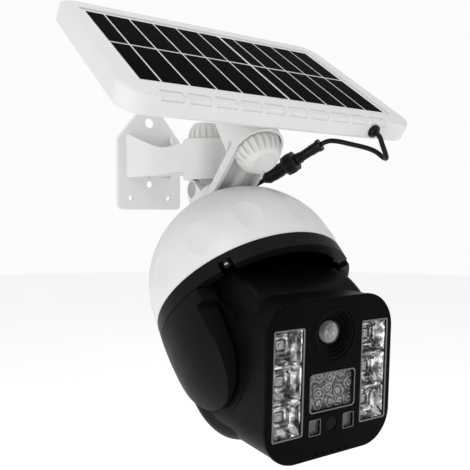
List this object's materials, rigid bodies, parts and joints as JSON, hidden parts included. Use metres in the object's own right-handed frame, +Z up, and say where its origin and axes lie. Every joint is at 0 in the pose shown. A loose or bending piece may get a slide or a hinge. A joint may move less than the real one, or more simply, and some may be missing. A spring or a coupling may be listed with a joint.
{
  "type": "solar security camera",
  "caption": "Wall bracket camera: a pan and tilt head with side floodlights under a fluted dome, and a tilted solar panel clamped above on a ribbed strut, joined by a short lead.",
  "frame": {"origin": "middle of the wall plate's back face, at the height of the bracket arm", "axes": "+Z up, +Y into the wall, the camera head looks out toward -Y, +X to the right seen from the front"},
  "size_m": [0.235, 0.2593, 0.2995],
  "materials": {
    "white_plastic": "satin moulded, warm white",
    "dome_white": "smooth glossy white shell",
    "black_plastic": "satin black moulding",
    "head_plastic": "fine matt black moulding",
    "face_black": "flat black face with a soft sheen",
    "screw_steel": "bright zinc plated",
    "brass": "knurled insert",
    "washer_grey": "friction washer",
    "seal_rubber": "soft seal",
    "lead_jacket": "satin dark lead jacket",
    "gland_white": "moulded strain relief",
    "cell_blue": "dark solar cells under a thin film",
    "laminate": "pale backing sheet",
    "clear_window": "clear cover",
    "smoked_window": "dark tinted cover",
    "lens_glass": "coated front element",
    "reflector": "vacuum metallised",
    "led": "emitter package",
    "board": "circuit board",
    "motor_metal": "motor can",
    "shaft_steel": "ground shaft",
    "cell_wrap": "battery wrap",
    "speaker_cone": "speaker frame"
  },
  "bodies": {
    "wall_mount": {"wall_plate": "white_plastic", "bracket_arm": "white_plastic"},
    "swivel": {"swivel_knuckle": "white_plastic", "pan_bolt": "screw_steel", "pan_washer": "washer_grey"},
    "pan_clamp_knob": {"pan_knob": "white_plastic", "pan_knob_insert": "brass"},
    "hanger": {"tilt_bracket": "white_plastic", "tilt_bolt_and_nut": "screw_steel", "saddle_screws": "screw_steel", "clamp_washer": "washer_grey", "dome_shell": "dome_white", "dome_seal": "seal_rubber", "rim_ring": "black_plastic", "ring_screws": "screw_steel", "dome_inlet_gland": "gland_white", "dome_chassis": "black_plastic", "pan_motor": "motor_metal", "pan_bearing": "black_plastic", "main_board": "board", "battery_cells": "cell_wrap", "battery_holder": "black_plastic", "connector_socket": "lead_jacket", "connector_nut": "lead_jacket", "connector_plug": "lead_jacket", "camera_lead": "lead_jacket"},
    "solar_panel": {"panel_frame": "white_plastic", "panel_back": "white_plastic", "solar_laminate": "laminate", "solar_cells": "cell_blue", "panel_foot": "white_plastic", "foot_screws": "screw_steel", "panel_bolt": "screw_steel", "panel_gland": "lead_jacket", "panel_lead": "lead_jacket"},
    "panel_clamp_knob": {"panel_knob": "white_plastic", "panel_knob_insert": "brass"},
    "yoke": {"yoke_frame": "black_plastic", "pan_shaft": "shaft_steel", "left_cheek_cover": "black_plastic", "right_cheek_cover": "black_plastic", "cheek_liners": "black_plastic", "cheek_screws": "screw_steel", "tilt_motor": "motor_metal"},
    "camera_head": {"head_shell": "head_plastic", "faceplate": "face_black", "lens_bezel": "black_plastic", "camera_lens": "lens_glass", "camera_module": "board", "light_windows": "clear_window", "light_reflectors": "reflector", "floodlight_leds": "led", "light_board": "board", "motion_sensor": "motor_metal", "front_windows": "smoked_window", "infrared_leds": "led", "light_sensor": "smoked_window", "speaker": "speaker_cone", "head_board": "board", "head_axles": "shaft_steel"}
  },
  "joints": [
    {"name": "swivel_pan", "type": "hinge", "parent": "wall_mount", "child": "swivel", "pos_m": [0, -0.106, -0.0165], "axis": [0, 0, 1], "range_deg": [-45, 45]},
    {"name": "swivel_knob_turn", "type": "hinge", "parent": "swivel", "child": "pan_clamp_knob", "pos_m": [0, -0.106, 0.0222], "axis": [0, 0, 1], "range_deg": [-180, 180]},
    {"name": "camera_tilt_mount", "type": "hinge", "parent": "swivel", "child": "hanger", "pos_m": [0, -0.1075, -0.0245], "axis": [1, 0, 0], "range_deg": [-20, 30]},
    {"name": "panel_turn", "type": "hinge", "parent": "hanger", "child": "solar_panel", "pos_m": [0, -0.1781, 0.0009], "axis": [0, 0.6896, 0.7242], "range_deg": [-15, 15], "deforming": ["panel_lead"]},
    {"name": "panel_knob_turn", "type": "hinge", "parent": "solar_panel", "child": "panel_clamp_knob", "pos_m": [0, -0.18327, -0.00453], "axis": [0, 0.6896, 0.7242], "range_deg": [-180, 180]},
    {"name": "camera_pan", "type": "hinge", "parent": "hanger", "child": "yoke", "pos_m": [0, -0.166, -0.0946], "axis": [0, 0.6574, 0.7536], "range_deg": [-170, 170]},
    {"name": "camera_tilt", "type": "hinge", "parent": "yoke", "child": "camera_head", "pos_m": [0, -0.20018, -0.13378], "axis": [1, 0, 0], "range_deg": [-25, 90]}
  ]
}
